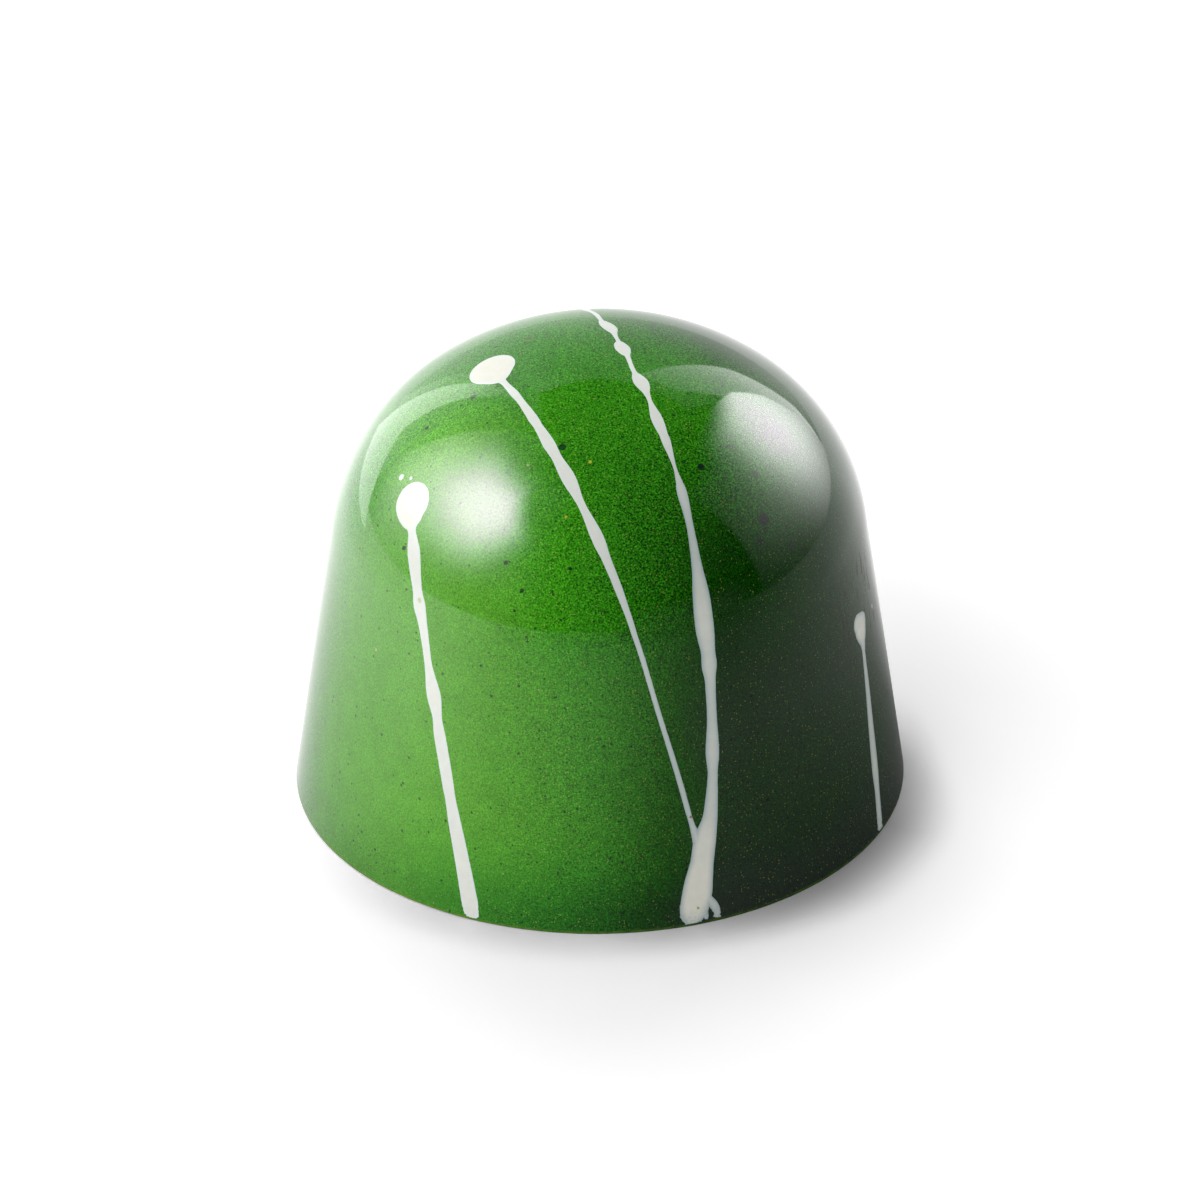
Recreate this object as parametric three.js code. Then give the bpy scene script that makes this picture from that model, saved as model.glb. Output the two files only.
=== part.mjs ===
// A moulded chocolate bonbon: a tall dome on slightly tapered walls, closed underneath by a flat
// layer of chocolate. It is solid right through, because nothing inside it can be seen.
// The origin is at the middle of the foot, on the surface that the bonbon stands on. +Z is up and
// -Y is the side that faces the viewer. All sizes are in millimetres and all angles in degrees.

import * as THREE from "three";

// Driving dimensions
const footDiameter = 29; // across the foot, the widest place
const wallTaper = 8.5; // how far the wall leans in, so that the bonbon slips out of its mould
const wallHeight = 13.6; // from the foot up to where the shoulder begins
const shoulderRadius = 9.6; // of the tighter curve between wall and crown
const shoulderEnd = 52; // steepness, from upright, where the shoulder runs into the crown
const leanPerHeight = 0.008; // sideways drift of the body towards +X, for each unit of height
const baseThickness = 0.4; // of the closing layer of chocolate, whose edge shows at the foot
const footRounding = 0.1; // of the scraped lower edge

// How finely the round shapes are cut
const segmentsRound = 120;
const stepsWall = 6;
const stepsShoulder = 10;
const stepsCrown = 10;
const stepsFootEdge = 3;

const taper = THREE.MathUtils.degToRad(wallTaper);
const runOut = THREE.MathUtils.degToRad(shoulderEnd);
const footRadius = footDiameter / 2;

// The wall's radius at a height above the foot.
function wallRadius(height) {
  return footRadius - height * Math.tan(taper);
}

// Points on an arc about (centreR, centreZ). Each angle is the wall's slope there: 0 is an upright
// wall and 90 degrees is level.
function arc(centreR, centreZ, radius, from, to, steps) {
  const points = [];
  for (let i = 1; i <= steps; i++) {
    const angle = THREE.MathUtils.lerp(from, to, i / steps);
    points.push(
      new THREE.Vector2(
        centreR + radius * Math.cos(angle),
        centreZ + radius * Math.sin(angle),
      ),
    );
  }
  return points;
}

// The painted dome: tapered wall, shoulder and crown, from the closing layer to the top.
function domeProfile() {
  const points = [new THREE.Vector2(0, baseThickness)];
  for (let i = 0; i <= stepsWall; i++) {
    const height = THREE.MathUtils.lerp(baseThickness, wallHeight, i / stepsWall);
    points.push(new THREE.Vector2(wallRadius(height), height));
  }
  // The shoulder starts on the wall's own slope.
  const shoulderR = wallRadius(wallHeight) - shoulderRadius * Math.cos(taper);
  const shoulderZ = wallHeight - shoulderRadius * Math.sin(taper);
  points.push(...arc(shoulderR, shoulderZ, shoulderRadius, taper, runOut, stepsShoulder));
  // The crown carries on from the shoulder's slope, with its centre on the axis.
  const crownRadius = shoulderRadius + shoulderR / Math.cos(runOut);
  const crownZ = shoulderZ + (shoulderRadius - crownRadius) * Math.sin(runOut);
  points.push(...arc(0, crownZ, crownRadius, runOut, Math.PI / 2, stepsCrown));
  points.at(-1).x = 0;
  return points;
}

// The closing layer of chocolate, with the lower edge that was scraped level with the mould.
function baseProfile() {
  const edgeR = wallRadius(footRounding) - footRounding;
  return [
    new THREE.Vector2(0, 0),
    new THREE.Vector2(edgeR, 0),
    ...arc(edgeR, footRounding, footRounding, -Math.PI / 2, 0, stepsFootEdge),
    new THREE.Vector2(wallRadius(baseThickness), baseThickness),
    new THREE.Vector2(0, baseThickness),
  ];
}

// Turns a profile round +Z and lets the body drift sideways as it rises.
function turned(profile) {
  const geometry = new THREE.LatheGeometry(profile, segmentsRound);
  geometry.rotateX(Math.PI / 2);
  const lean = new THREE.Matrix4().makeShear(0, 0, 0, 0, leanPerHeight, 0);
  return geometry.applyMatrix4(lean);
}

const greenCocoaButter = new THREE.MeshStandardMaterial({
  color: 0x2f7d1e,
  roughness: 0.18,
  metalness: 0,
});
const chocolate = new THREE.MeshStandardMaterial({
  color: 0x4a2a1a,
  roughness: 0.4,
  metalness: 0,
});

function part(name, profile, material) {
  const mesh = new THREE.Mesh(turned(profile), material);
  mesh.name = name;
  return mesh;
}

const bonbon = new THREE.Group();
bonbon.add(part("dome", domeProfile(), greenCocoaButter));
bonbon.add(part("base", baseProfile(), chocolate));

export default bonbon;
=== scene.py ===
"""A moulded chocolate bonbon: a glossy green coat of cocoa butter, sprayed dark down one side, with
white drips let into it and a scraped base of chocolate. It stands on a pale table in a studio.

Every length is in metres, written as so many MM. A place on the coat is given as (run, turn): run is
the way down from the top along the skin, and turn is the angle round the bonbon, from the front
towards +X. The tables give them in mm and degrees. The front is the -Y side."""

import math

import bpy
import numpy as np
from mathutils import Matrix, Vector, noise


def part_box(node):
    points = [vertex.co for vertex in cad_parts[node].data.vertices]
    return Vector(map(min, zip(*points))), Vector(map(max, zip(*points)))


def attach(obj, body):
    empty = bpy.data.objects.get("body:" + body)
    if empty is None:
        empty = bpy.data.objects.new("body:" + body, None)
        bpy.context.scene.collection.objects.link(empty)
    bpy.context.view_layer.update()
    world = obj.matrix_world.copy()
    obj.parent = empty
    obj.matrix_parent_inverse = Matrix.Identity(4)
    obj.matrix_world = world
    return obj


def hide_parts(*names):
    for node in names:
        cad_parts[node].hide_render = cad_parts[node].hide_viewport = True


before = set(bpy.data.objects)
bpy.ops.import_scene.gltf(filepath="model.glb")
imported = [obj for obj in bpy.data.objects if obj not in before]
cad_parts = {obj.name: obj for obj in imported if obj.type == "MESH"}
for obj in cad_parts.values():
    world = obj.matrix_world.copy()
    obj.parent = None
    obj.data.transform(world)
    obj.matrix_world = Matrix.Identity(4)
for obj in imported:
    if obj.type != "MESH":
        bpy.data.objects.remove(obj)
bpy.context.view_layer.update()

MM = 0.001

# The form, with the CAD model's own sizes
FOOT_RADIUS = 14.5 * MM
TAPER = math.radians(8.5)
WALL_HEIGHT = 13.6 * MM
SHOULDER_RADIUS = 9.6 * MM
SHOULDER_END = math.radians(52)
LEAN = 0.008  # drift towards +X for each unit of height
BASE_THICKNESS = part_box("base")[1].z

WALL_TOP_R = FOOT_RADIUS - WALL_HEIGHT * math.tan(TAPER)
SHOULDER_R = WALL_TOP_R - SHOULDER_RADIUS * math.cos(TAPER)
SHOULDER_Z = WALL_HEIGHT - SHOULDER_RADIUS * math.sin(TAPER)
CROWN_RADIUS = SHOULDER_RADIUS + SHOULDER_R / math.cos(SHOULDER_END)
CROWN_Z = SHOULDER_Z + (SHOULDER_RADIUS - CROWN_RADIUS) * math.sin(SHOULDER_END)
CROWN_RUN = CROWN_RADIUS * (math.pi / 2 - SHOULDER_END)
SHOULDER_RUN = SHOULDER_RADIUS * (SHOULDER_END - TAPER)
WALL_RUN = WALL_HEIGHT / math.cos(TAPER)
FOOT_RUN = CROWN_RUN + SHOULDER_RUN + WALL_RUN

# The coat and the base
COAT_THICKNESS = 0.06 * MM  # at its scraped lower edge
COAT_EDGE_HEIGHT = 0.014 * MM  # of that edge above the table
COAT_EDGE_LEAST = 0.004 * MM
COAT_EDGE_BUMPS = [(1.3 * MM, 0.012 * MM), (0.25 * MM, 0.008 * MM)]  # (how long, how high)
BARE_EDGE_TURN = -38  # where more of the chocolate shows below the coat, in degrees
BARE_EDGE_SPREAD = 24
BARE_EDGE_HEIGHT = 0.035 * MM
COAT_ROW = 0.35 * MM
ROW_POINTS = [(0.04, 45), (0.1, 90), (0.2, 180), (1.1, 360)]  # (down to this share of the rows, points)
RIM_HEIGHT = 0.8 * MM  # the lowest part of the coat, which is cut finer
RIM_JOIN = 0.76 * MM  # a ring with half as many points as the rim
RIM_TOP = 0.72 * MM
RIM_ROWS = 9
RIM_POINTS = 1440
BASE_GAP = 0.002 * MM  # between the base and the coat
SCRAPED_ROUNDING = 0.05 * MM
ROUNDING_STEPS = (0.35, 0.75, 1.0)  # as shares of a quarter turn
BASE_RINGS = (0.25 * MM, 0.12 * MM, SCRAPED_ROUNDING)  # their heights above the table
UNDERSIDE_RINGS = (0.97, 0.9, 0.8, 0.65, 0.5, 0.35, 0.2, 0.1)  # as shares of the foot's radius
CREASE = math.radians(40)  # edges sharper than this stay crisp

# The white drips
DRIP_CELL = 0.05 * MM  # how finely their outlines are cut
CELL_MARGIN = 0.1 * MM
CHART_TRUE = 10 * MM  # how far from the top the flat chart is close to true
DRIP_STEP = 0.03 * MM  # between the round dabs that a drip is made of
DAB_BLEND = 0.10 * MM  # over which the width of a drip is averaged
POINTS_AT_ONCE = 2000
DRIP_LIFT = 0.002 * MM  # of the white above the coat
DRIP_ROUNDING = 0.06 * MM  # how far in from the edge it reaches that
DRIP_SINK = 0.04 * MM  # of its back into the coat
DRIP_END_HEIGHT = 0.1 * MM  # where a drip is cut off above the table
CUT_OFF = 50  # how steeply
THIN_EDGE = 0.36 * MM  # how far in from its edge the white is thin
NARROW = 0.12 * MM  # half the width of the thinnest drips
BROAD = 0.65 * MM  # half the width of those thick enough to cover well
COVER_OF_NARROW = 0.35  # how well the thinnest drips cover, next to the broad ones
COVER_POWER = 2.2  # how soon they cover, going in from the edge
WAVER = 0.008 * MM  # of the outlines
WAVER_SIZE = 0.35 * MM
FRAY_HEIGHT = 0.9 * MM  # below which the outlines are ragged
FRAY = 0.13 * MM
FRAY_SIZE = 0.11 * MM
WORN_SIZE = 0.13 * MM  # of the worn spots there


# ---------------------------------------------------------------------------------------------
# The skin of the dome


def profile(run):
    """Radius, height and slope of the skin at each run. The slope is how far it leans back from
    upright, in radians."""
    run = np.asarray(run, float)
    on_crown = math.pi / 2 - run / CROWN_RADIUS
    on_shoulder = SHOULDER_END - (run - CROWN_RUN) / SHOULDER_RADIUS
    down_wall = run - CROWN_RUN - SHOULDER_RUN
    parts = [run < CROWN_RUN, run < CROWN_RUN + SHOULDER_RUN]
    radius = np.select(
        parts,
        [CROWN_RADIUS * np.cos(on_crown), SHOULDER_R + SHOULDER_RADIUS * np.cos(on_shoulder)],
        WALL_TOP_R + down_wall * math.sin(TAPER),
    )
    height = np.select(
        parts,
        [
            CROWN_Z + CROWN_RADIUS * np.sin(on_crown),
            SHOULDER_Z + SHOULDER_RADIUS * np.sin(on_shoulder),
        ],
        WALL_HEIGHT - down_wall * math.cos(TAPER),
    )
    slope = np.select(parts, [on_crown, on_shoulder], TAPER)
    return radius, height, slope


def skin(run, turn, rise=0.0):
    """Points of the skin, one row for each run and turn, lifted off it by rise."""
    radius, height, slope = profile(run)
    outward = radius + rise * np.cos(slope)
    z = height + rise * np.sin(slope)
    x = outward * np.sin(turn) + LEAN * z
    y = -outward * np.cos(turn)
    return np.stack(np.broadcast_arrays(x, y, z), axis=-1)


def flat_to_skin(flat, rise=0.0):
    """The same for points of the flat chart, which lays the whole skin out round the top: a point's
    distance from the chart's middle is its run."""
    run = np.hypot(flat[:, 0], flat[:, 1])
    return skin(run, np.arctan2(flat[:, 0], -flat[:, 1]), rise)


def run_at(height):
    """The run of a height on the wall."""
    return FOOT_RUN - height / math.cos(TAPER)


def level_ring(height, angles, inward):
    """A ring inside the wall, level with each height on it."""
    ring = skin(run_at(height), angles, -inward)
    ring[:, 2] = height
    return ring


def on_coat(run, turn):
    """The point at a run in mm and a turn in degrees."""
    return tuple(skin(run * MM, math.radians(turn)))


def wander(points, size, seed):
    """Smooth noise from -1 to 1 at each point, with bumps of about that size."""
    shift = Vector((seed * 7.31, seed * 3.17, seed * 5.73))
    return np.array([noise.noise(Vector(p) / size + shift) for p in points])


# ---------------------------------------------------------------------------------------------
# Meshes


def new_piece(name, points, faces, material):
    mesh = bpy.data.meshes.new(name)
    mesh.from_pydata([tuple(p) for p in points], [], faces)
    mesh.validate()
    mesh.polygons.foreach_set("use_smooth", [True] * len(mesh.polygons))
    mesh.materials.append(material)
    piece = bpy.data.objects.new(name, mesh)
    bpy.context.scene.collection.objects.link(piece)
    return piece


def sharpen(piece):
    """Keeps edges crisp where faces meet at more than the crease angle."""
    piece.data.set_sharp_from_angle(angle=CREASE)


def bridge(upper, lower):
    """Faces between two rings of point numbers, seen from outside. The lower ring has as many points
    as the upper one, or twice as many."""
    faces = []
    count = len(upper)
    for i in range(count):
        j = (i + 1) % count
        if len(lower) == count:
            faces.append((upper[i], lower[i], lower[j], upper[j]))
        else:
            a, b, c = lower[2 * i], lower[2 * i + 1], lower[(2 * i + 2) % len(lower)]
            faces += [(upper[i], a, b), (upper[i], b, upper[j]), (upper[j], b, c)]
    return faces


class Turned:
    """A closed body built ring by ring, from the middle of its top down and round to the middle of
    its underside."""

    def __init__(self, top):
        self.points = [tuple(top)]
        self.faces = []
        self.ring = None

    def add(self, ring_points):
        first = len(self.points)
        self.points += [tuple(p) for p in ring_points]
        ring = list(range(first, len(self.points)))
        if self.ring is None:
            self.faces += [(0, ring[i], ring[(i + 1) % len(ring)]) for i in range(len(ring))]
        elif len(ring) < len(self.ring):
            self.faces += [tuple(reversed(f)) for f in bridge(ring, self.ring)]
        else:
            self.faces += bridge(self.ring, ring)
        self.ring = ring

    def close(self, bottom):
        last = len(self.points)
        self.points.append(tuple(bottom))
        count = len(self.ring)
        self.faces += [(self.ring[i], last, self.ring[(i + 1) % count]) for i in range(count)]


def turns(count):
    """So many angles, evenly round."""
    return np.arange(count) * (2 * math.pi / count)


# ---------------------------------------------------------------------------------------------
# Node trees


class Wiring:
    """Makes and joins the nodes of one tree. A value may be a number, a colour or another node's
    output."""

    def __init__(self, tree):
        self.tree = tree

    def node(self, kind, inputs=None, **settings):
        made = self.tree.nodes.new(kind)
        for name, value in settings.items():
            setattr(made, name, value)
        for name, value in (inputs or {}).items():
            self.put(made.inputs[name], value)
        return made

    def put(self, socket, value):
        if isinstance(value, bpy.types.NodeSocket):
            self.tree.links.new(value, socket)
        else:
            socket.default_value = value

    def math(self, operation, first, second=0.0, third=0.0):
        made = self.node("ShaderNodeMath", operation=operation)
        for socket, value in zip(made.inputs, (first, second, third)):
            self.put(socket, value)
        return made.outputs[0]

    def product(self, *factors):
        total = factors[0]
        for factor in factors[1:]:
            total = self.math("MULTIPLY", total, factor)
        return total

    def vector_math(self, operation, first, second=(0, 0, 0)):
        made = self.node("ShaderNodeVectorMath", operation=operation)
        self.put(made.inputs[0], first)
        self.put(made.inputs[1], second)
        return made.outputs["Value" if operation == "LENGTH" else "Vector"]

    def distance(self, place, centre):
        return self.vector_math("LENGTH", self.vector_math("SUBTRACT", place, centre))

    def spread(self, value, low, high, to_low=0.0, to_high=1.0, kind="SMOOTHSTEP"):
        """Moves a value from one range to another, and holds it there."""
        made = self.node("ShaderNodeMapRange", interpolation_type=kind, clamp=True)
        for name, number in zip(
            ("Value", "From Min", "From Max", "To Min", "To Max"),
            (value, low, high, to_low, to_high),
        ):
            self.put(made.inputs[name], number)
        return made.outputs["Result"]

    def mix(self, share, first, second, blend="MIX"):
        made = self.node("ShaderNodeMix", data_type="RGBA", blend_type=blend)
        # The node's sockets for colours come after those for numbers and vectors.
        self.put(made.inputs[0], share)
        self.put(made.inputs[6], first)
        self.put(made.inputs[7], second)
        return made.outputs[2]

    def tint(self, share, body, shade):
        """Multiplies a colour by a shade, as far as the share says."""
        return self.mix(share, body, self.mix(1.0, body, shade, blend="MULTIPLY"))

    def noise(self, place, size, detail=2.0, roughness=0.5):
        """Noise from 0 to 1 with bumps of about that size."""
        made = self.node("ShaderNodeTexNoise")
        self.put(made.inputs["Vector"], place)
        self.put(made.inputs["Scale"], 1 / size)
        self.put(made.inputs["Detail"], detail)
        self.put(made.inputs["Roughness"], roughness)
        return made.outputs["Fac"]

    def bump(self, height, distance, strength=1.0):
        given = {"Strength": strength, "Distance": distance, "Height": height}
        return self.node("ShaderNodeBump", inputs=given).outputs["Normal"]

    def place(self):
        return self.node("ShaderNodeTexCoord").outputs["Object"]

    def along(self, place):
        """The X, Y and Z of a place."""
        return self.node("ShaderNodeSeparateXYZ", inputs={"Vector": place}).outputs


def colour(red, green, blue):
    return (red, green, blue, 1.0)


def new_group(name, inputs, outputs):
    """An empty node group with its sockets, and the wiring to fill it."""
    tree = bpy.data.node_groups.new(name, "ShaderNodeTree")
    for label, kind, default in inputs:
        socket = tree.interface.new_socket(label, in_out="INPUT", socket_type=kind)
        if default is not None:
            socket.default_value = default
    for label, kind in outputs:
        tree.interface.new_socket(label, in_out="OUTPUT", socket_type=kind)
    wiring = Wiring(tree)
    return tree, wiring, wiring.node("NodeGroupInput"), wiring.node("NodeGroupOutput")


def use_group(wiring, tree, inputs):
    return wiring.node("ShaderNodeGroup", inputs=inputs, node_tree=tree)


def bare_material(name):
    """A material with nothing wired to its surface yet."""
    material = bpy.data.materials.new(name)
    material.use_nodes = True
    material.node_tree.nodes.clear()
    wiring = Wiring(material.node_tree)
    return material, wiring, wiring.node("ShaderNodeOutputMaterial").inputs["Surface"]


def new_material(name):
    material, wiring, surface = bare_material(name)
    shader = wiring.node("ShaderNodeBsdfPrincipled")
    wiring.put(surface, shader.outputs[0])
    return material, wiring, shader


def make_flecks_group():
    """Small round flecks strewn through the colour."""
    tree, w, given, out = new_group(
        "flecks",
        [
            ("Place", "NodeSocketVector", None),
            ("Spacing", "NodeSocketFloat", 0.3 * MM),
            ("Size", "NodeSocketFloat", 0.2),
            ("Share", "NodeSocketFloat", 0.5),
        ],
        [("Mask", "NodeSocketFloat"), ("Tint", "NodeSocketFloat")],
    )
    scale = w.math("DIVIDE", 1.0, given.outputs["Spacing"])
    cells = w.node(
        "ShaderNodeTexVoronoi",
        inputs={"Vector": given.outputs["Place"], "Scale": scale, "Randomness": 1.0},
    )
    # Three random numbers for each cell: which cells have a fleck, its size and its tint
    chance = w.node("ShaderNodeSeparateColor", inputs={"Color": cells.outputs["Color"]}).outputs
    size = w.product(given.outputs["Size"], w.spread(chance["Green"], 0, 1, 0.5, 1.2))
    dot = w.spread(cells.outputs["Distance"], size, w.product(size, 0.5))
    chosen = w.math("LESS_THAN", chance["Red"], given.outputs["Share"])
    w.put(out.inputs["Mask"], w.product(dot, chosen))
    w.put(out.inputs["Tint"], chance["Blue"])
    return tree


def make_speck_group():
    """One larger speck with a ragged edge."""
    tree, w, given, out = new_group(
        "speck",
        [
            ("Place", "NodeSocketVector", None),
            ("Centre", "NodeSocketVector", None),
            ("Width", "NodeSocketFloat", 0.3 * MM),
        ],
        [("Mask", "NodeSocketFloat")],
    )
    away = w.distance(given.outputs["Place"], given.outputs["Centre"])
    share = w.math("DIVIDE", away, given.outputs["Width"])
    ragged = w.math("SUBTRACT", w.noise(given.outputs["Place"], 0.13 * MM, detail=3.0), 0.5)
    w.put(out.inputs["Mask"], w.spread(w.math("MULTIPLY_ADD", ragged, 0.7, share), 0.62, 0.32))
    return tree


def make_ripple_group():
    """The faint unevenness of a moulded surface."""
    tree, w, given, out = new_group(
        "moulded ripple",
        [("Place", "NodeSocketVector", None)],
        [("Height", "NodeSocketFloat")],
    )
    broad = w.noise(given.outputs["Place"], 2.2 * MM, detail=1.0)
    fine = w.noise(given.outputs["Place"], 0.25 * MM, detail=1.0)
    w.put(out.inputs["Height"], w.math("MULTIPLY_ADD", fine, 0.12, broad))
    return tree


# ---------------------------------------------------------------------------------------------
# Materials

# The coat's colour from the lit side to the side that was sprayed dark: (share of spray, colour)
COAT_COLOURS = [
    (0.0, colour(0.127, 0.443, 0.028)),
    (0.3, colour(0.080, 0.345, 0.018)),
    (0.5, colour(0.048, 0.275, 0.013)),
    (0.65, colour(0.031, 0.195, 0.008)),
    (0.8, colour(0.016, 0.105, 0.005)),
    (1.0, colour(0.003, 0.036, 0.001)),
]
# Local shades. A place on the coat is (run in mm, turn in degrees).
SPRAY_START = -6.8 * MM  # where the dark spray begins to show, measured towards +X
SPRAY_FULL = 5.7 * MM
SPRAY_GAP = (6.8, 60.0)  # a thinner patch in the spray, high on the dark side
SPRAY_GAP_SIZE = 8.5 * MM
SPRAY_GAP_DEPTH = 0.44
SPRAY_UNEVEN = 0.16
SPRAY_BEHIND = 0.46  # over all of the back
PAINTED_LIGHT_PATCH = (8.7, -72.0)  # painted light: a paler green pool of light high on the lit side, facing the key lamp
PAINTED_LIGHT_SIZE = 4.8 * MM
PAINTED_LIGHT_CORE = 1.0 * MM
PAINTED_LIGHT_TINT = colour(2.0, 1.42, 1.6)
FOOT_TINT = colour(0.60, 0.98, 0.90)
CROWN_TINT = colour(0.78, 1.04, 0.62)
GREY_HAZE = colour(0.022, 0.014, 0.024)  # a faint grey haze added over the dark side of the wall
COAT_IN_SCATTERED_LIGHT = colour(0.16, 0.17, 0.16)

DARK_DOT = colour(0.004, 0.016, 0.012)
PLUM_DOT = colour(0.016, 0.010, 0.020)
PALE_DOT = colour(0.45, 0.50, 0.22)
YELLOW_DOT = colour(0.62, 0.56, 0.06)
RED_DOT = colour(0.20, 0.05, 0.02)
GOLD_ON_GREEN = colour(0.38, 0.47, 0.09)
LIME_ON_GREEN = colour(0.25, 0.60, 0.08)
GOLD_ON_DARK = colour(0.25, 0.21, 0.045)
OLIVE_ON_DARK = colour(0.11, 0.19, 0.035)

# How thickly dots and flecks are strewn
FINE_DOTS = {"Spacing": 0.14 * MM, "Size": 0.32, "Share": 0.40}
COARSE_DOTS = {"Spacing": 0.42 * MM, "Size": 0.19, "Share": 0.60}
GOLD_FLECKS = {"Spacing": 0.145 * MM, "Size": 0.25, "Share": 0.66}
PALE_DOTS = {"Spacing": 0.95 * MM, "Size": 0.055, "Share": 0.5}

# Larger specks: (run in mm, turn in degrees, width in mm, strength, colour)
SPECKS = [
    (8.81, 33.5, 0.36, 0.95, DARK_DOT),
    (7.04, -14.6, 0.40, 0.80, DARK_DOT),
    (6.41, -68.5, 0.30, 0.85, DARK_DOT),
    (13.87, -50.3, 0.24, 0.90, DARK_DOT),
    (8.94, -70.3, 0.22, 0.85, DARK_DOT),
    (7.69, 24.8, 0.22, 0.80, DARK_DOT),
    (8.33, 28.8, 0.22, 0.70, DARK_DOT),
    (12.92, -22.5, 0.22, 0.80, DARK_DOT),
    (14.04, -17.7, 0.22, 0.85, DARK_DOT),
    (12.84, -7.1, 0.20, 0.85, DARK_DOT),
    (5.11, -108.4, 0.20, 0.80, DARK_DOT),
    (12.15, 43.9, 0.62, 0.75, PLUM_DOT),
    (10.20, 48.7, 0.40, 0.60, PLUM_DOT),
    (13.02, 40.3, 0.34, 0.70, PLUM_DOT),
    (13.80, 48.6, 0.50, 0.45, PLUM_DOT),
    (8.44, 46.9, 0.24, 0.60, PLUM_DOT),
    (10.43, 40.5, 0.24, 0.50, PLUM_DOT),
    (3.63, -114.8, 0.26, 0.75, RED_DOT),
    (7.73, -3.5, 0.15, 0.90, YELLOW_DOT),
    (10.49, -9.3, 0.14, 0.85, YELLOW_DOT),
    (8.24, -24.6, 0.16, 0.75, PALE_DOT),
    (19.27, -53.3, 0.17, 0.95, PALE_DOT),
]

# The white, its specks, the marks on the coat and the line along its scraped edge, which is partly a
# painted highlight
THIN_WHITE_ON_GREEN = colour(0.90, 0.97, 0.94)
THIN_WHITE_ON_DARK = colour(0.42, 0.54, 0.56)
THICK_WHITE = colour(0.98, 0.98, 0.87)
WHITE_SPECKS = [
    (29.77, 17.9, 0.15, 0.90, colour(0.28, 0.48, 0.06)),
    (15.75, -42.1, 0.26, 0.60, colour(0.45, 0.60, 0.20)),
    (25.15, 17.3, 0.14, 0.80, colour(0.30, 0.12, 0.04)),
]
SCUFF_BROWN = colour(0.020, 0.018, 0.008)
EDGE_ON_GREEN = colour(0.15, 0.32, 0.025)
EDGE_ON_DARK = colour(0.05, 0.11, 0.016)
SCUFFS = (19.2, 70.0)  # the middle of a patch of faint upright scuff marks
SCUFFS_SIZE = 4.2 * MM

# The finishes
COCOA_BUTTER_IOR = 1.45
COAT_ROUGHNESS = 0.06
SCUFF_ROUGHNESS = 0.40
WHITE_ROUGHNESS = 0.08
RIPPLE_HEIGHT = 0.0004 * MM
DARK_CHOCOLATE = colour(0.10, 0.040, 0.018)
PALE_CHOCOLATE = colour(0.20, 0.090, 0.044)
SCRAPE_STRETCH = (1.0, 0.05, 1.0)  # draws the marks out from front to back
SCRAPE_HEIGHT = 0.02 * MM


def make_spray_group():
    """How much dark spray lies over the green, from 0 to 1."""
    tree, w, given, out = new_group(
        "dark spray", [("Place", "NodeSocketVector", None)], [("Share", "NodeSocketFloat")]
    )
    place = given.outputs["Place"]
    at = w.along(place)
    share = w.spread(at["X"], SPRAY_START, SPRAY_FULL, kind="LINEAR")
    uneven = w.math("SUBTRACT", w.noise(place, 5 * MM, detail=2.0), 0.5)
    share = w.math("MULTIPLY_ADD", uneven, SPRAY_UNEVEN, share)
    in_gap = w.spread(w.distance(place, on_coat(*SPRAY_GAP)), SPRAY_GAP_SIZE, 0.0)
    share = w.math("MULTIPLY_ADD", in_gap, -SPRAY_GAP_DEPTH, share)
    more_at_foot = w.spread(at["Z"], 3.2 * MM, 0.4 * MM, 0.0, 0.13)
    share = w.math("ADD", share, more_at_foot)
    behind = w.spread(at["Y"], -7.5 * MM, -1.5 * MM, 0.0, SPRAY_BEHIND)
    w.put(out.inputs["Share"], w.math("MAXIMUM", share, behind))
    return tree


def dark_spray(w, groups, place):
    return use_group(w, groups["spray"], {"Place": place}).outputs["Share"]


def paint_shades(w, spray):
    ramp = w.node("ShaderNodeValToRGB", inputs={"Fac": spray})
    for _ in COAT_COLOURS[1:-1]:
        ramp.color_ramp.elements.new(0.5)
    for stop, (share, shade) in zip(ramp.color_ramp.elements, COAT_COLOURS):
        stop.position = share
        stop.color = shade
    return ramp.outputs["Color"]


def add_flecks(w, groups, place, body, strewn, shade, strength):
    made = use_group(w, groups["flecks"], {"Place": place, **strewn})
    return w.mix(w.product(made.outputs["Mask"], strength), body, shade)


def add_specks(w, groups, place, body, specks):
    for run, turn, width, strength, shade in specks:
        given = {"Place": place, "Centre": on_coat(run, turn), "Width": width * MM}
        speck = use_group(w, groups["speck"], given)
        body = w.mix(w.product(speck.outputs["Mask"], strength), body, shade)
    return body


def lit_side(w, at):
    return w.spread(at["X"], -5 * MM, -12 * MM)


def sprayed_colour(w, place, spray):
    """The green between its lit and its dark side, broken up into droplets of spray."""
    height = w.along(place)["Z"]
    droplets = w.math("SUBTRACT", w.noise(place, 0.085 * MM, detail=1.0, roughness=0.7), 0.5)
    on_crown = w.spread(height, 12 * MM, 17 * MM, 0.6, 1.5)
    uneven = w.product(on_crown, w.spread(spray, 0.65, 1.0, 1.0, 0.35))
    return paint_shades(w, w.math("MULTIPLY_ADD", droplets, uneven, spray))


def tint_places(w, place, spray, body):
    """The crown is a purer green, a patch high on the lit side is paler with painted light, and the
    foot is cooler.
    """
    at = w.along(place)
    on_crown = w.product(w.spread(at["Z"], 11 * MM, 16 * MM), w.spread(spray, 0.05, 0.4))
    body = w.tint(on_crown, body, CROWN_TINT)
    # Painted light: a paler pool of light high on the lit side, facing the key lamp.
    to_painted_light = w.distance(place, on_coat(*PAINTED_LIGHT_PATCH))
    body = w.tint(w.spread(to_painted_light, PAINTED_LIGHT_SIZE, PAINTED_LIGHT_CORE), body, PAINTED_LIGHT_TINT)
    at_foot = w.spread(at["Z"], 5.5 * MM, 0.5 * MM)
    at_foot = w.product(at_foot, w.spread(lit_side(w, at), 0, 1, 1.0, 0.2))
    return w.tint(at_foot, body, FOOT_TINT)


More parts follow.
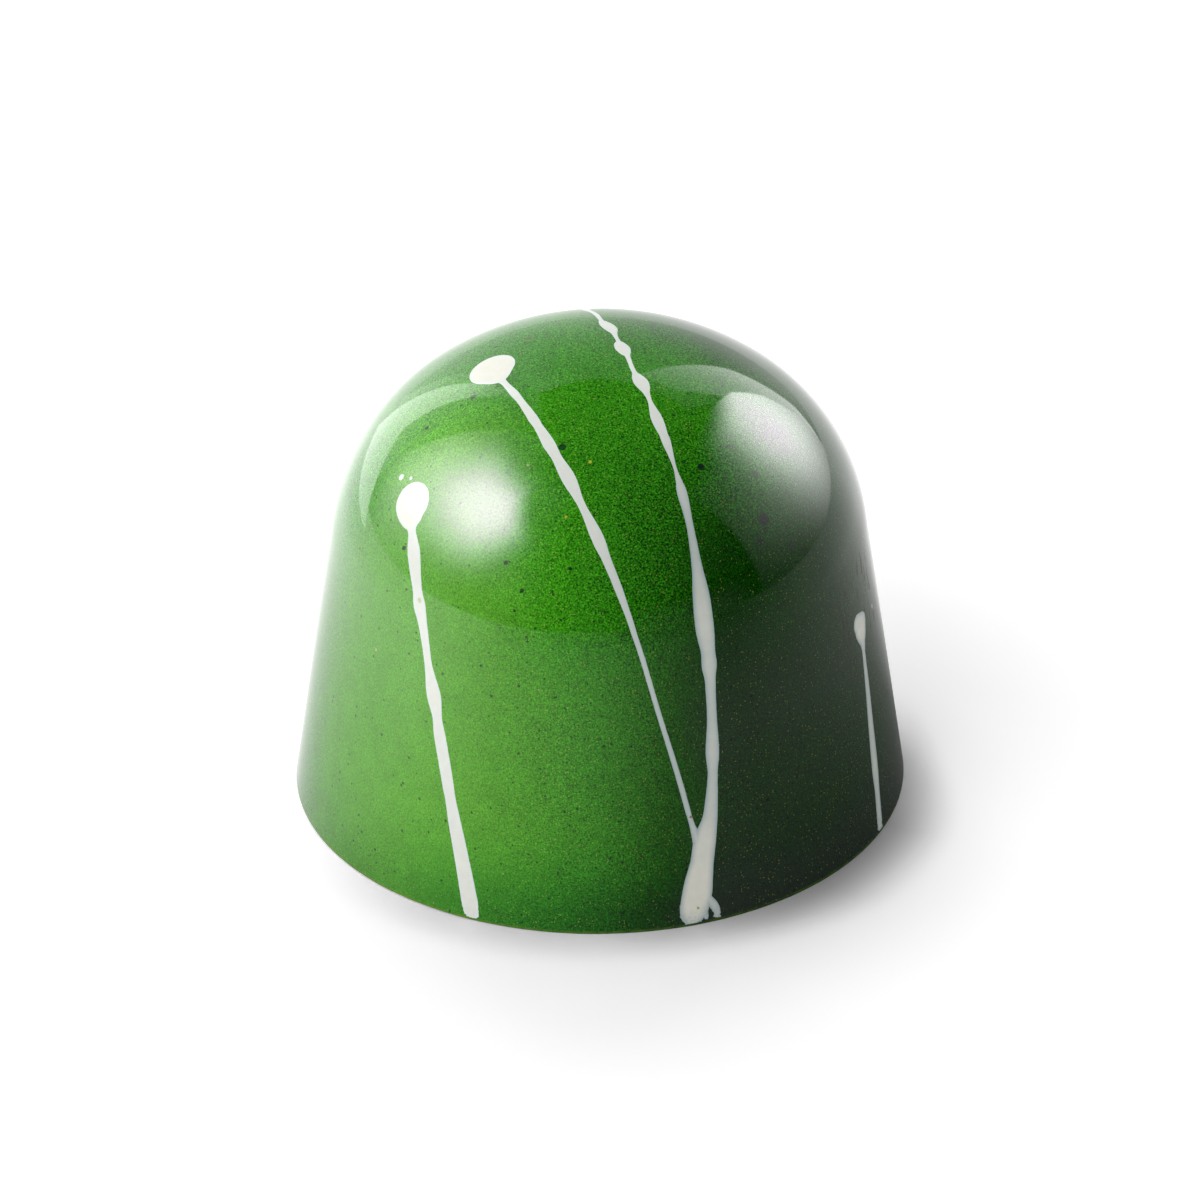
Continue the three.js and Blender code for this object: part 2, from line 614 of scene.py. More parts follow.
def shade_places(w, place, spray):
    """The colour is darker low down, which is painted shade near the table, at the top and at the far
    left, and it is cloudy and grainy.
    """
    at = w.along(place)
    # Painted shade: darker low down near the table, less so on the lit side.
    lowest = w.spread(lit_side(w, at), 0, 1, 0.66, 0.84)
    low = w.spread(at["Z"], 0.0, 4.5 * MM, lowest, 1.0)
    high = w.spread(at["Z"], 18 * MM, 22 * MM, 1.0, 0.88)
    far_left = w.spread(at["X"], -14 * MM, -8.5 * MM, 0.78, 1.0, kind="LINEAR")
    clouds = w.spread(w.noise(place, 1.1 * MM, detail=1.0), 0.25, 0.75, 0.93, 1.07, "LINEAR")
    grain = w.math("SUBTRACT", w.noise(place, 0.07 * MM, detail=1.0, roughness=0.7), 0.5)
    grain = w.math("MULTIPLY_ADD", grain, w.spread(spray, 0.0, 0.5, 1.6, 3.2), 1.0)
    return w.product(low, high, far_left, clouds, grain)


def add_dots_and_flecks(w, groups, place, spray, body):
    """Dots where spray has gathered, then fine gold and olive flecks, and a few pale dots."""
    gathered = w.spread(spray, 0.0, 0.55, 0.45, 0.85, "LINEAR")
    gathered = w.product(gathered, w.spread(w.along(place)["Z"], 12 * MM, 17 * MM, 0.8, 1.0))
    body = add_flecks(w, groups, place, body, FINE_DOTS, DARK_DOT, gathered)
    body = add_flecks(w, groups, place, body, COARSE_DOTS, DARK_DOT, 0.75)
    gold = use_group(w, groups["flecks"], {"Place": place, **GOLD_FLECKS})
    on_green = w.mix(gold.outputs["Tint"], GOLD_ON_GREEN, LIME_ON_GREEN)
    on_dark = w.mix(gold.outputs["Tint"], GOLD_ON_DARK, OLIVE_ON_DARK)
    fleck_colour = w.mix(w.spread(spray, 0.3, 0.9), on_green, on_dark)
    shine = w.spread(spray, 0.0, 0.45, 0.55, 0.9, "LINEAR")
    body = w.mix(w.product(gold.outputs["Mask"], shine), body, fleck_colour)
    fewer_in_spray = w.spread(spray, 0.3, 0.8, 0.7, 0.15)
    return add_flecks(w, groups, place, body, PALE_DOTS, PALE_DOT, fewer_in_spray)


def scuff_mask(w, place):
    """Faint marks drawn out up and down the wall."""
    away = w.distance(place, on_coat(*SCUFFS))
    drawn_out = w.vector_math("MULTIPLY", place, (1.0, 1.0, 0.13))
    marks = w.spread(w.noise(drawn_out, 0.22 * MM, detail=1.0), 0.53, 0.65)
    return w.product(marks, w.spread(away, SCUFFS_SIZE, 0.4 * SCUFFS_SIZE))


def scraped_edge_and_highlight(w, place, spray, body):
    """A thin line along the foot's lower edge, partly a painted highlight and partly colour that is
    thin and smeared where the foot was scraped.
    """
    edge = w.spread(w.along(place)["Z"], 0.17 * MM, 0.09 * MM)
    edge = w.product(edge, w.spread(w.noise(place, 0.5 * MM), 0.35, 0.6, 0.35, 1.0))
    # Partly painted highlight: a lighter, yellower line along the lower edge.
    return w.mix(edge, body, w.mix(spray, EDGE_ON_GREEN, EDGE_ON_DARK))


def make_coat_material(groups):
    material, w, shader = new_material("green_cocoa_butter")
    place = w.place()
    spray = dark_spray(w, groups, place)
    body = tint_places(w, place, spray, sprayed_colour(w, place, spray))
    body = w.mix(1.0, body, shade_places(w, place, spray), blend="MULTIPLY")
    on_wall = w.spread(w.along(place)["Z"], 15 * MM, 9 * MM)
    body = w.mix(w.product(w.spread(spray, 0.8, 1.1), on_wall), body, GREY_HAZE, blend="ADD")
    body = add_dots_and_flecks(w, groups, place, spray, body)
    body = add_specks(w, groups, place, body, SPECKS)
    scuffs = scuff_mask(w, place)
    body = w.mix(w.product(scuffs, 0.8), body, SCUFF_BROWN)
    body = scraped_edge_and_highlight(w, place, spray, body)

    # The table would pick up more green than the picture shows, so scattered light sees a grey coat.
    path = w.node("ShaderNodeLightPath")
    body = w.mix(path.outputs["Is Diffuse Ray"], body, COAT_IN_SCATTERED_LIGHT)
    w.put(shader.inputs["Base Color"], body)
    ripple = use_group(w, groups["ripple"], {"Place": place})
    w.put(shader.inputs["Normal"], w.bump(ripple.outputs["Height"], RIPPLE_HEIGHT))
    roughness = w.spread(scuffs, 0, 1, COAT_ROUGHNESS, SCUFF_ROUGHNESS, "LINEAR")
    w.put(shader.inputs["Roughness"], roughness)
    w.put(shader.inputs["IOR"], COCOA_BUTTER_IOR)
    return material


def make_white_material(groups):
    """Off-white, and bluish where it is thin over the dark side. High on the crown it is a little
    darker, which is painted shade.
    """
    material, w, shader = new_material("white_cocoa_butter")
    place = w.place()
    depth = w.node("ShaderNodeAttribute", attribute_name="depth_of_white").outputs["Fac"]
    on_dark = w.spread(dark_spray(w, groups, place), 0.45, 0.85)
    body = w.mix(depth, w.mix(on_dark, THIN_WHITE_ON_GREEN, THIN_WHITE_ON_DARK), THICK_WHITE)
    mottle = w.spread(w.noise(place, 0.35 * MM, detail=3.0), 0.3, 0.7, 0.975, 1.02, "LINEAR")
    # Painted shade: the white is a little darker high on the crown.
    on_crown = w.spread(w.along(place)["Z"], 13 * MM, 18 * MM, 1.0, 0.94)
    body = w.mix(1.0, body, w.product(mottle, on_crown), blend="MULTIPLY")
    body = add_specks(w, groups, place, body, WHITE_SPECKS)
    w.put(shader.inputs["Base Color"], body)
    w.put(shader.inputs["Roughness"], WHITE_ROUGHNESS)
    w.put(shader.inputs["IOR"], COCOA_BUTTER_IOR)
    return material


def make_chocolate_material():
    """Chocolate that was scraped level, with faint marks from front to back."""
    material, w, shader = new_material("chocolate")
    place = w.place()
    grain = w.noise(place, 0.4 * MM, detail=4.0)
    marks = w.noise(w.vector_math("MULTIPLY", place, SCRAPE_STRETCH), 0.5 * MM, detail=3.0)
    uneven = w.math("MULTIPLY_ADD", w.spread(marks, 0.35, 0.65), 0.5, w.product(grain, 0.5))
    w.put(shader.inputs["Base Color"], w.mix(uneven, DARK_CHOCOLATE, PALE_CHOCOLATE))
    w.put(shader.inputs["Roughness"], w.spread(marks, 0.35, 0.65, 0.36, 0.5))
    w.put(shader.inputs["Normal"], w.bump(uneven, SCRAPE_HEIGHT, 0.6))
    return material


# ---------------------------------------------------------------------------------------------
# The coat and the base


def coat_edge_height(angles):
    """Height of the coat's scraped lower edge above the table, at each angle."""
    rim = skin(FOOT_RUN, angles)
    bumps = [high * wander(rim, long, seed) for seed, (long, high) in enumerate(COAT_EDGE_BUMPS, 1)]
    from_bare = (np.degrees(angles) - BARE_EDGE_TURN + 180) % 360 - 180
    bare = BARE_EDGE_HEIGHT * np.exp(-((from_bare / BARE_EDGE_SPREAD) ** 2))
    return np.maximum(COAT_EDGE_HEIGHT + bare + sum(bumps), COAT_EDGE_LEAST)


def build_coat(material):
    body = Turned(skin(0.0, 0.0))
    rows_end = run_at(RIM_HEIGHT)
    rows = int(rows_end / COAT_ROW)
    for i in range(1, rows + 1):
        run = rows_end * i / rows
        count = next(points for share, points in ROW_POINTS if run / rows_end < share)
        body.add(skin(run, turns(count)))
    body.add(skin(run_at(RIM_JOIN), turns(RIM_POINTS // 2)))
    angles = turns(RIM_POINTS)
    edge = coat_edge_height(angles)
    for i in range(1, RIM_ROWS + 1):
        height = RIM_TOP + (edge - RIM_TOP) * i / RIM_ROWS
        body.add(skin(run_at(height), angles))
    body.add(level_ring(edge, angles, COAT_THICKNESS))
    inside = run_at(BASE_THICKNESS)
    body.add(skin(inside, angles, -COAT_THICKNESS))
    body.close(skin(inside, turns(4)).mean(axis=0))
    piece = new_piece("coat", body.points, body.faces, material)
    sharpen(piece)
    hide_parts("dome")
    return piece


def build_base(material):
    """The closing layer, scraped level with the mould."""
    angles = turns(RIM_POINTS // 2)
    inward = COAT_THICKNESS + BASE_GAP
    top = skin(run_at(BASE_THICKNESS), turns(4)).mean(axis=0)
    body = Turned(top - Vector((0, 0, BASE_GAP)))
    body.add(skin(run_at(BASE_THICKNESS - BASE_GAP), angles, -inward))
    for height in BASE_RINGS:
        body.add(level_ring(height, angles, inward))
    for share in ROUNDING_STEPS:
        bend = share * math.pi / 2
        height = SCRAPED_ROUNDING * (1 - math.sin(bend))
        body.add(level_ring(height, angles, inward + SCRAPED_ROUNDING * (1 - math.cos(bend))))
    foot = FOOT_RADIUS - inward - SCRAPED_ROUNDING
    circle = np.stack([np.sin(angles), -np.cos(angles), np.zeros(len(angles))], axis=-1)
    for share in UNDERSIDE_RINGS:
        body.add(circle * foot * share)
    body.close((0, 0, 0))
    piece = new_piece("chocolate_base", body.points, body.faces, material)
    sharpen(piece)
    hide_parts("base")
    return piece


# ---------------------------------------------------------------------------------------------
# The white drips. Each station is (run in mm, turn in degrees, width in mm).

LEFT_DRIP = [
    (11.9, -54.3, 2.00), (12.3, -52.9, 1.50), (12.95, -50.2, 0.50), (13.85, -47.0, 0.76),
    (15.3, -43.3, 0.57), (16.0, -41.9, 0.72), (16.8, -40.4, 0.54), (18.4, -38.3, 0.43),
    (19.2, -37.2, 0.58), (20.05, -36.0, 0.81), (21.1, -34.7, 0.53), (22.0, -33.7, 0.65),
    (24.2, -31.1, 0.62), (24.9, -30.3, 0.57), (26.2, -28.8, 0.69), (28.3, -26.4, 0.78),
    (29.7, -25.0, 0.84), (30.2, -24.5, 0.74),
]
MIDDLE_DRIP = [
    (5.05, -83.5, 2.25), (4.95, -76.0, 1.40), (4.89, -67.5, 0.36), (5.0, -52.0, 0.39),
    (5.2, -44.5, 0.33), (5.8, -32.6, 0.45), (6.2, -27.4, 0.41), (6.95, -20.3, 0.56),
    (7.7, -15.1, 0.47), (8.6, -10.2, 0.64), (9.65, -6.1, 0.38), (10.3, -3.9, 0.38),
    (11.4, -0.8, 0.57), (12.4, 1.4, 0.41), (13.7, 3.9, 0.36), (15.0, 5.9, 0.28),
    (16.6, 8.0, 0.24), (20.0, 11.8, 0.23), (24.0, 16.0, 0.26), (25.5, 17.4, 0.26),
    (26.4, 18.4, 0.50),
]
LONG_DRIP_BEHIND = [
    (20.7, 192.5, 0.42), (20.3, 192.3, 0.50), (19.0, 191.8, 0.26), (16.0, 190.6, 0.30),
    (13.6, 189.6, 0.40), (12.0, 189.0, 0.64), (10.2, 188.2, 0.44), (8.2, 186.9, 0.32),
    (6.8, 186.0, 0.50), (5.45, 185.2, 0.30), (4.9, 183.6, 0.24), (4.0, 181.0, 0.24),
]
LONG_DRIP = [
    (4.0, 181.0, 0.24), (3.05, 177.8, 0.22), (2.65, 175.0, 0.46), (2.2, 168.6, 0.64),
    (1.8, 160.6, 0.56), (1.5, 152.3, 0.32), (1.15, 136.5, 0.20), (0.98, 112.0, 0.24),
    (0.97, 95.0, 0.54), (1.12, 76.0, 0.70), (1.34, 62.8, 0.54), (1.56, 55.5, 0.28),
    (1.87, 47.3, 0.22), (2.4, 38.9, 0.22), (2.8, 35.8, 0.26), (3.1, 34.6, 0.52),
    (3.45, 33.7, 0.70), (3.8, 32.6, 0.56), (4.2, 31.2, 0.32), (4.8, 29.4, 0.23),
    (5.8, 27.4, 0.55), (6.7, 26.5, 0.42), (7.15, 26.1, 0.42), (8.4, 25.0, 0.17),
    (9.2, 24.5, 0.31), (9.8, 24.1, 0.48), (11.2, 23.4, 0.35), (12.6, 22.8, 0.44),
    (13.4, 22.6, 0.55), (14.5, 22.4, 0.81), (15.6, 22.3, 0.90), (16.3, 22.4, 0.87),
    (17.2, 22.7, 0.70), (17.9, 22.8, 0.74), (18.7, 22.8, 0.53), (20.5, 22.7, 0.49),
    (22.1, 22.4, 0.67), (23.2, 22.2, 0.50), (24.4, 21.7, 0.61), (25.4, 21.1, 0.76),
    (26.4, 19.9, 1.10), (27.5, 19.1, 1.15), (28.4, 18.3, 1.36), (29.1, 17.8, 1.46),
    (29.8, 17.1, 1.34), (30.15, 16.6, 0.95),
]
LONG_DRIP_HEEL = [(29.6, 15.6, 0.60), (30.1, 15.2, 0.36), (30.3, 16.4, 0.50)]
LONG_DRIP_BALL = [(29.4, 18.7, 0.80), (29.85, 18.5, 0.72), (30.1, 18.1, 0.62), (30.28, 17.6, 0.45)]
LONG_DRIP_SPUR = [(29.8, 18.9, 0.40), (30.33, 19.3, 0.22)]
LONG_DRIP_TOE = [
    (29.4, 20.0, 0.36), (29.64, 20.6, 0.42), (29.86, 21.1, 0.41), (30.1, 21.45, 0.35),
    (30.32, 21.5, 0.33),
]
RIGHT_DRIP_HEAD = [(19.85, 67.5, 1.00), (20.0, 69.4, 1.05), (19.9, 70.6, 0.60)]
RIGHT_DRIP = [
    (20.15, 68.6, 1.35), (20.45, 68.7, 1.10), (20.85, 68.7, 0.66), (21.25, 68.6, 0.44),
    (21.6, 68.4, 0.37), (23.2, 67.9, 0.48), (24.8, 67.2, 0.58), (27.3, 66.3, 0.70),
    (28.5, 65.9, 0.54), (30.3, 65.1, 0.56),
]
LEFT_BACK_DRIP = [
    (12.0, -131.0, 1.70), (12.4, -130.4, 1.30), (13.2, -129.3, 0.46), (14.4, -128.0, 0.64),
    (16.0, -126.6, 0.42), (17.9, -125.2, 0.52), (19.4, -124.2, 0.76), (20.8, -123.4, 0.48),
    (23.6, -121.8, 0.60), (26.4, -120.4, 0.54), (28.6, -119.4, 0.80), (30.2, -118.8, 0.72),
]
RIGHT_BACK_DRIP = [
    (13.6, 143.0, 0.80), (13.9, 142.8, 1.30), (14.5, 142.2, 0.62), (15.9, 141.2, 0.34),
    (18.2, 139.8, 0.50), (20.0, 138.8, 0.68), (22.0, 137.9, 0.40), (25.4, 136.6, 0.46),
    (28.2, 135.7, 0.64), (30.3, 135.2, 0.50),
]
SIDE_DRIP = [
    (17.6, -100.6, 1.10), (18.1, -100.3, 0.52), (19.6, -99.6, 0.30), (21.8, -98.7, 0.42),
    (23.4, -98.1, 0.30), (25.6, -97.3, 0.34), (27.0, -96.8, 0.64), (27.4, -96.7, 0.50),
]
DROPLETS = [
    (11.32, -63.1, 0.30), (11.05, -59.6, 0.18), (11.1, -133.6, 0.26), (20.2, 77.9, 0.20),
    (12.9, 146.6, 0.32), (24.4, 104.0, 0.24),
]


def chart_place(run, turn):
    angle = math.radians(turn)
    return np.array([run * MM * math.sin(angle), -run * MM * math.cos(angle)])


def dabs(stations):
    """Round dabs close together along a smooth line through the stations: their places in the
    chart and their radii."""
    places = np.array([chart_place(run, turn) for run, turn, _ in stations])
    widths = np.array([width * MM for _, _, width in stations])
    if len(stations) == 1:
        return places, widths / 2
    table = np.column_stack([places, widths])
    ends = np.vstack([table[:1], table, table[-1:]])
    made = []
    for a, b, c, d in zip(ends, ends[1:], ends[2:], ends[3:]):
        # A smooth curve from b to c. The stations beyond them, a and d, set its two directions.
        steps = max(2, int(np.linalg.norm((c - b)[:2]) / DRIP_STEP))
        for t in np.arange(steps) / steps:
            bent = b + t * (c - a) / 2 + t * t * (a - 2.5 * b + 2 * c - d / 2)
            bent = bent + t**3 * (1.5 * b - 1.5 * c + (d - a) / 2)
            made.append(bent)
    made.append(table[-1])
    made = np.array(made)
    return made[:, :2], made[:, 2] / 2


def near_cells(flat, radii):
    """The chart's grid points that lie close to any dab. Far from the top, where the chart is wider
    than the skin, they reach further out."""
    found = set()
    for (x, y), radius in zip(flat, radii):
        stretch = max(1.0, math.hypot(x, y) / CHART_TRUE)
        reach = int((radius * stretch + CELL_MARGIN) / DRIP_CELL) + 2
        i, j = int(round(x / DRIP_CELL)), int(round(y / DRIP_CELL))
        columns = range(i - reach, i + reach + 1)
        rows = range(j - reach, j + reach + 1)
        found.update((a, b) for a in columns for b in rows)
    return sorted(found)


def distance_to_dabs(points, centres, radii):
    """How far each point lies outside the nearest dab, or inside it where negative, and the radius
    of the dabs about there."""
    nearest = np.empty(len(points))
    size = np.empty(len(points))
    for start in range(0, len(points), POINTS_AT_ONCE):
        part = slice(start, start + POINTS_AT_ONCE)
        away = np.linalg.norm(points[part, None, :] - centres[None, :, :], axis=2) - radii[None, :]
        nearest[part] = away.min(axis=1)
        weight = np.exp((away.min(axis=1, keepdims=True) - away) / DAB_BLEND)
        size[part] = weight @ radii / weight.sum(axis=1)
    return nearest, size


def cut_outline(cells, inside):
    """Triangles of the grid where inside is positive, cut straight across at its edge. Returns the
    places in the chart, the faces and the outline's edges."""
    number = {cell: k for k, cell in enumerate(cells)}
    places, made, faces, rim = [], {}, [], []

    def corner(k):
        if k not in made:
            made[k] = len(places)
            places.append(np.array(cells[k]) * DRIP_CELL)
        return made[k]

    def crossing(k, m):
        key = (min(k, m), max(k, m))
        if key not in made:
            share = inside[key[0]] / (inside[key[0]] - inside[key[1]])
            made[key] = len(places)
            start, end = np.array(cells[key[0]]), np.array(cells[key[1]])
            places.append((start + (end - start) * share) * DRIP_CELL)
        return made[key]

    for (i, j), k in number.items():
        across, up, far = number.get((i + 1, j)), number.get((i, j + 1)), number.get((i + 1, j + 1))
        if None in (across, up, far):
            continue
        for triangle in ((k, across, far), (k, far, up)):
            within = [inside[c] > 0 for c in triangle]
            if all(within):
                faces.append(tuple(corner(c) for c in triangle))
            elif any(within):
                # One corner is alone on its side of the outline.
                lone = within.index(sum(within) == 1)
                a, b, c = triangle[lone], triangle[(lone + 1) % 3], triangle[(lone + 2) % 3]
                ab, ac = crossing(a, b), crossing(a, c)
                if within[lone]:
                    faces.append((corner(a), ab, ac))
                    rim.append((ab, ac))
                else:
                    faces.append((ab, corner(b), corner(c), ac))
                    rim.append((ac, ab))
    return np.array(places), faces, rim


def near_foot(points):
    """1 at the table, falling to 0 where the drips are no longer ragged."""
    return np.clip(1 - points[:, 2] / FRAY_HEIGHT, 0, 1)


def inside_outline(cells, centres, radii):
    """How far inside the outline each grid point lies. The outline wavers, is ragged near the foot
    and ends just above the table."""
    flat = np.array(cells) * DRIP_CELL
    points = flat_to_skin(flat)
    inside = WAVER * wander(points, WAVER_SIZE, 3) - distance_to_dabs(points, centres, radii)[0]
    inside = inside + FRAY * near_foot(points) * wander(points, FRAY_SIZE, 4)
    past_end = np.hypot(flat[:, 0], flat[:, 1]) - run_at(DRIP_END_HEIGHT)
    return inside - np.clip(past_end, 0, 1) * CUT_OFF


def thickness_of_white(points, depth, half_width):
    """How well the white covers, from 0 at its edge to 1 in the middle of a broad drip."""
    in_from_edge = np.clip(depth / np.minimum(THIN_EDGE, 0.9 * half_width), 0, 1)
    broad = np.clip((half_width - NARROW) / (BROAD - NARROW), 0, 1)
    cover = COVER_OF_NARROW + (1 - COVER_OF_NARROW) * broad
    thick = (1 - (1 - in_from_edge) ** COVER_POWER) * cover
    worn = np.clip(wander(points, WORN_SIZE, 5) * 2, 0, 0.5)
    return thick * (1 - near_foot(points) * worn)


def build_inlay(name, chains, material):
    """A closed, thin body let into the coat. Each chain is a list of stations."""
    laid = [dabs(chain) for chain in chains]
    flat = np.vstack([places for places, _ in laid])
    radii = np.concatenate([sizes for _, sizes in laid])
    centres = flat_to_skin(flat)
    cells = near_cells(flat, radii)
    places, faces, rim = cut_outline(cells, inside_outline(cells, centres, radii))
    points = flat_to_skin(places)
    outside, half_width = distance_to_dabs(points, centres, radii)
    thick = thickness_of_white(points, -outside, half_width)
    lift = DRIP_LIFT * (1 - (1 - np.clip(-outside / DRIP_ROUNDING, 0, 1)) ** 2)
    front = flat_to_skin(places, lift)
    back = flat_to_skin(places, -DRIP_SINK)
    # The back has the front's faces turned over, and a narrow wall joins the two outlines.
    count = len(front)
    faces = faces + [tuple(count + p for p in reversed(f)) for f in faces]
    faces += [(b, a, a + count, b + count) for a, b in rim]
    piece = new_piece(name, np.vstack([front, back]), faces, material)
    sharpen(piece)
    attribute = piece.data.attributes.new("depth_of_white", "FLOAT", "POINT")
    attribute.data.foreach_set("value", np.concatenate([thick, thick]).astype(np.float32))
    return piece


# ---------------------------------------------------------------------------------------------
# The studio

SENSOR = 36.0  # the sensor's width, in plain mm
LENS = 185.26  # the focal length, in plain mm
CAMERA_DISTANCE = 290 * MM
CAMERA_ELEVATION = math.radians(30.475)
CAMERA_ROLL = math.radians(0.6815)
AIM_HEIGHT = 10.15 * MM
AIM_RIGHT = 0.105 * MM
AIM_DOWN = 0.824 * MM
MIRROR_CENTRE = Vector((0, 0, 16 * MM))  # the cards are set out round this place on its axis
WHITE = colour(1, 1, 1)
HOTTEST_TINT = colour(1.0, 0.79, 1.01)  # keeps the strongest highlight from turning green
HOT_FROM = 7  # the strength of a card where that tint sets in
HOTTEST = 15


def build_camera():
    back = Vector((0, -math.cos(CAMERA_ELEVATION), math.sin(CAMERA_ELEVATION)))
    up = Vector((0, math.sin(CAMERA_ELEVATION), math.cos(CAMERA_ELEVATION)))
    right = Vector((1, 0, 0))
    rolled_right = right * math.cos(CAMERA_ROLL) - up * math.sin(CAMERA_ROLL)
    rolled_up = right * math.sin(CAMERA_ROLL) + up * math.cos(CAMERA_ROLL)
    target = Vector((0, 0, AIM_HEIGHT))
    # The lens points a little beside and below the target, which only moves it in the frame.
    aim = target + rolled_right * AIM_RIGHT - rolled_up * AIM_DOWN
    eye = target + back * CAMERA_DISTANCE
    look = (eye - aim).normalized()
    rolled_right = rolled_up.cross(look).normalized()
    rolled_up = look.cross(rolled_right)
    camera = bpy.data.objects.new("camera", bpy.data.cameras.new("camera"))
    camera.data.sensor_width = SENSOR
    camera.data.lens = LENS
    camera.data.clip_start = 10 * MM
    camera.data.clip_end = 5.0
    turned = Matrix((rolled_right, rolled_up, look)).transposed().to_4x4()
    camera.matrix_world = Matrix.Translation(eye) @ turned
    bpy.context.scene.collection.objects.link(camera)
    bpy.context.scene.camera = camera


def direction(turn, elevation):
    """A unit vector. Turn goes from the front towards +X, elevation up from level, in degrees."""
    a, e = math.radians(turn), math.radians(elevation)
    return Vector((math.cos(e) * math.sin(a), -math.cos(e) * math.cos(a), math.sin(e)))


def build_card(name, distance, corners, glow, centre=MIRROR_CENTRE):
    """A light card that shows only as a reflection. Its corners are the directions (turn, elevation)
    in which the coat mirrors them, and glow makes its strength from those two angles."""
    points = [centre + direction(*corner) * distance for corner in corners]
    material, w, surface = bare_material(name)
    material.cycles.emission_sampling = "NONE"
    away = w.vector_math("SUBTRACT", w.place(), tuple(centre))
    strength = glow(w, turn_of(w, away), elevation_of(w, away))
    tint = w.mix(w.spread(strength, HOT_FROM, HOTTEST), WHITE, HOTTEST_TINT)
    shine = w.node("ShaderNodeEmission", inputs={"Color": tint, "Strength": strength})
    w.put(surface, shine.outputs[0])
    card = new_piece(name, points, [tuple(range(len(points)))], material)
    card.visible_camera = False
    card.visible_diffuse = False
    card.visible_transmission = False
    card.visible_shadow = False


def turn_of(w, away):
    """The angle of a place round the bonbon, in degrees."""
    at = w.along(away)
    return w.math("DEGREES", w.math("ARCTAN2", at["X"], w.product(at["Y"], -1.0)))


def elevation_of(w, away):
    """The angle of a place above level, in degrees."""
    steepness = w.math("DIVIDE", w.along(away)["Z"], w.vector_math("LENGTH", away))
    return w.math("DEGREES", w.math("ARCSINE", steepness))


def hump(w, value, middle, spread):
    """1 at the middle, falling to 1/e at the spread on either side."""
    away = w.math("ABSOLUTE", w.math("DIVIDE", w.math("SUBTRACT", value, middle), spread))
    return w.math("POWER", math.e, w.product(w.math("POWER", away, 2.0), -1.0))


def hot_spot(w, turn, elevation, middle, halves, power, slant=0.0):
    """A round glow. It is half as bright at these distances before, after, below and above its
    middle. Its top slopes down beyond the middle by the slant."""
    before, after, below, above = halves
    across = w.math("SUBTRACT", turn, middle[0])
    beyond = w.math("MAXIMUM", across, 0.0)
    across = w.math("DIVIDE", across, w.spread(across, -1, 1, before, after))
    up = w.math("SUBTRACT", elevation, middle[1])
    over = w.math("DIVIDE", w.math("MULTIPLY_ADD", beyond, slant, up), above)
    up = w.math("MAXIMUM", over, w.math("DIVIDE", up, -below))
    squares = w.math("ADD", w.product(across, across), w.product(up, up))
    return w.math("POWER", 2.0, w.product(w.math("POWER", squares, power / 2), -1.0))


def key_glow(w, turn, elevation):
    """A large screen on the left, hottest where its lamp stands behind it. Below that lies a broad
    skirt, and a brighter side towards the back."""
    hot = hot_spot(w, turn, elevation, (-71, 49.5), (33, 19.8, 20.5, 10.6), 3.0, slant=0.36)
    hot = w.product(hot, 22.8)
    side = w.product(
        w.spread(turn, -72, -118),
        w.spread(turn, -132, -114, 0.35, 1.0),
        w.spread(elevation, -4, 32, 0.2, 1.0),
        w.spread(elevation, 52, 34),
        4.7,
    )
    skirt = w.product(w.spread(turn, -50, -78), w.spread(turn, -122, -100), w.spread(elevation, 40, 22))
    haze = w.product(
        w.spread(turn, -18, -56),
        w.spread(elevation, 78, 66),
        w.spread(elevation, 4, 28, 0.3, 0.95),
        w.spread(elevation, 20, 32, 1.0, 0.65),
        w.math("MULTIPLY_ADD", skirt, 2.3, 1.0),
    )
    return w.math("ADD", hot, w.math("ADD", side, haze))


def side_glow(w, turn, elevation):
    """A strip light at the far left, brightest low down."""
    return w.spread(elevation, 0, 62, 2.3, 0.25, kind="LINEAR")


def near_glow(w, turn, elevation):
    """A small bright card close behind on the left."""
    return w.spread(elevation, 24, 48, 4.0, 1.4)


def backdrop_glow(w, turn, elevation):
    """The pale wall behind, dimmer to the right."""
    level = w.spread(elevation, 0, 50, 0.90, 0.42, kind="LINEAR")
    level = w.math("MULTIPLY_ADD", hump(w, turn, -156, 9), 0.4, level)
    level = w.math("ADD", level, w.product(hump(w, turn, 153, 11), w.spread(elevation, 26, 2), 0.5))
    to_right = w.math("SINE", w.math("RADIANS", turn))
    return w.product(level, w.math("MULTIPLY_ADD", to_right, -0.35, 1.0))


def fill_glow(w, turn, elevation):
    """A screen on the right. Its top edge slopes down to the back."""
    from_end = w.math("SUBTRACT", turn, 132.0)
    above = w.math("MULTIPLY_ADD", from_end, 0.15, elevation)
    hot = w.product(hot_spot(w, turn, elevation, (131, 29), (16.5, 20, 20, 14), 2.2), 9.0)
    wide = w.product(hump(w, turn, 131, 43), hump(w, elevation, 28, 23), w.spread(above, 54, 44), 3.2)
    top = w.spread(w.math("MULTIPLY_ADD", from_end, 0.7, elevation), 50, 38)
    return w.product(w.math("ADD", hot, wide), top, w.spread(turn, 67, 72))


def front_glow(w, turn, elevation):
    """The dim front of the room, just above the table."""
    return w.product(w.spread(elevation, 16, 1), w.spread(turn, 2, 24), w.spread(turn, 70, 50), 0.17)


def wing_glow(w, turn, elevation):
    """A narrow card beside the right screen."""
    return w.spread(elevation, 16, 47, 3.8, 1.0, kind="LINEAR")


# How bright the table looks where the coat mirrors it: (turn, brightness)
TABLE_IN_COAT = [
    (-180, 0.92), (-165, 1.25), (-150, 2.1), (-110, 2.2), (-70, 2.1), (-52, 1.4), (-36, 0.85),
    (-20, 0.62), (0, 0.47), (20, 0.27), (50, 0.19), (75, 0.36), (100, 0.63), (120, 1.0),
    (135, 1.4), (150, 1.35), (165, 1.2), (180, 0.92),
]
